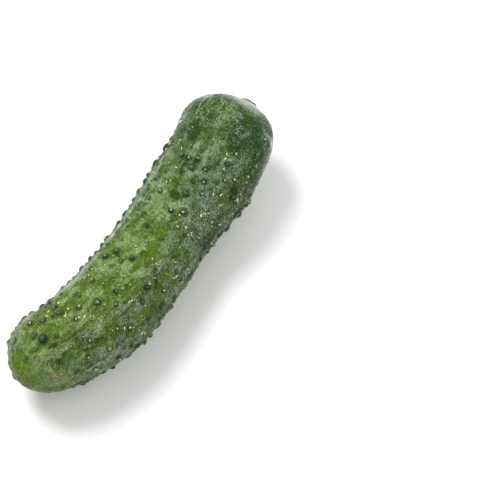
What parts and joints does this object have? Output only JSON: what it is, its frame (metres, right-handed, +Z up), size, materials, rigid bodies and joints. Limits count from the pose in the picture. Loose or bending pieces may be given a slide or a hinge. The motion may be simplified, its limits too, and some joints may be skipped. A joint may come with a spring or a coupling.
{
  "type": "cucumber",
  "caption": "Short warty cucumber lying on its side: gently bent green fruit with spined warts, a smooth stem end and a scar at each end.",
  "frame": {"origin": "on the surface the fruit lies on, under the middle of its outline", "axes": "+X runs along the fruit from the blossom end to the stem end, +Z is up as it lies, and the fruit's middle bows towards -Y"},
  "size_m": [0.1282, 0.0428, 0.0379],
  "materials": {
    "skin": "satin, waxy"
  },
  "bodies": {
    "root": {"fruit": "skin"}
  },
  "joints": []
}
